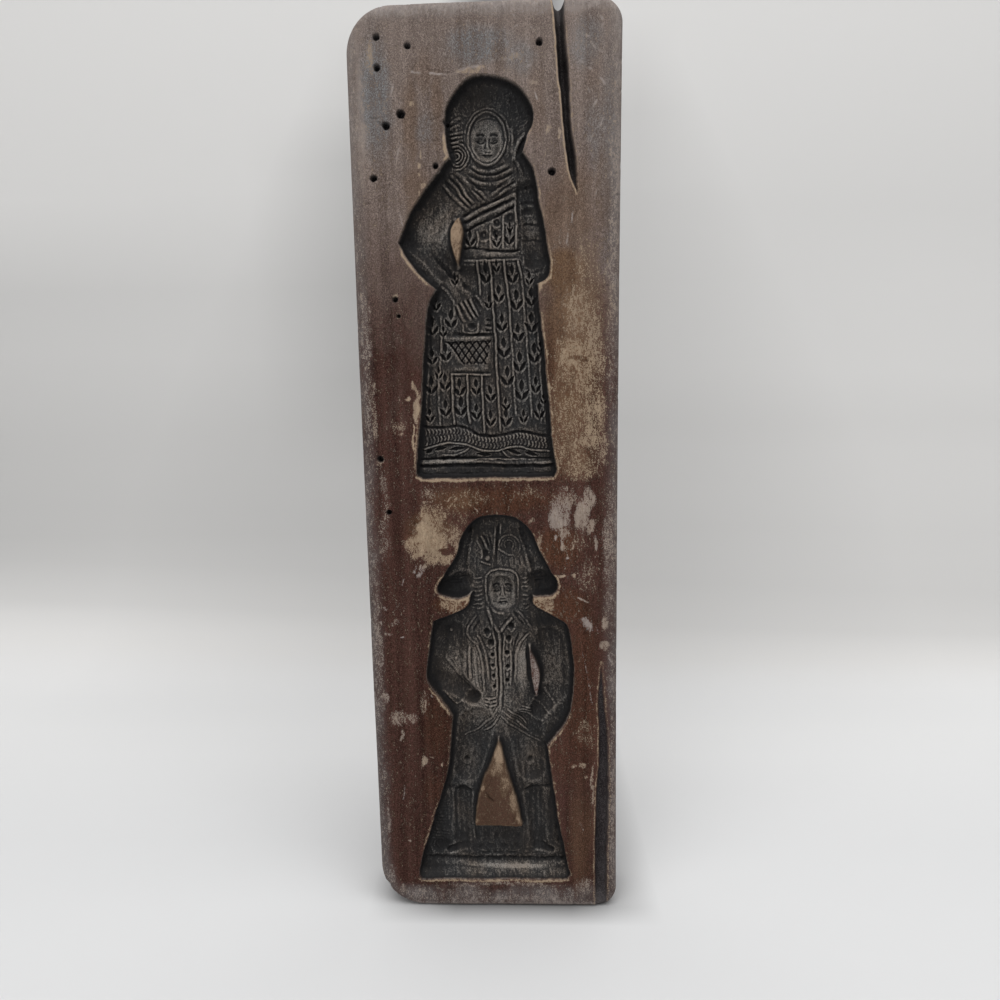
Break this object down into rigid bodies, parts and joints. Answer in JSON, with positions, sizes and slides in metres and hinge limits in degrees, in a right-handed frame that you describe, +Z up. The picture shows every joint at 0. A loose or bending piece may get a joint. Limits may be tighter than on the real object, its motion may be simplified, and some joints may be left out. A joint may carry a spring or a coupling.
{
  "type": "cookie mould",
  "caption": "Flat wooden cookie board carved with a standing woman in a long dress above a standing man in a brimmed hat, cut in reverse to shape dough.",
  "frame": {"origin": "centre of the bottom end of the board, at half its width and half its thickness", "axes": "+Z up along the length towards the woman's end, -Y out of the carved face, +X to the right when the carved face is looked at"},
  "size_m": [0.0903, 0.024, 0.321],
  "materials": {
    "old_wood": "old dark red-brown varnish, worn grey at the edges, with charcoal-dark hollows"
  },
  "bodies": {
    "root": {"mould_board": "old_wood"}
  },
  "joints": []
}
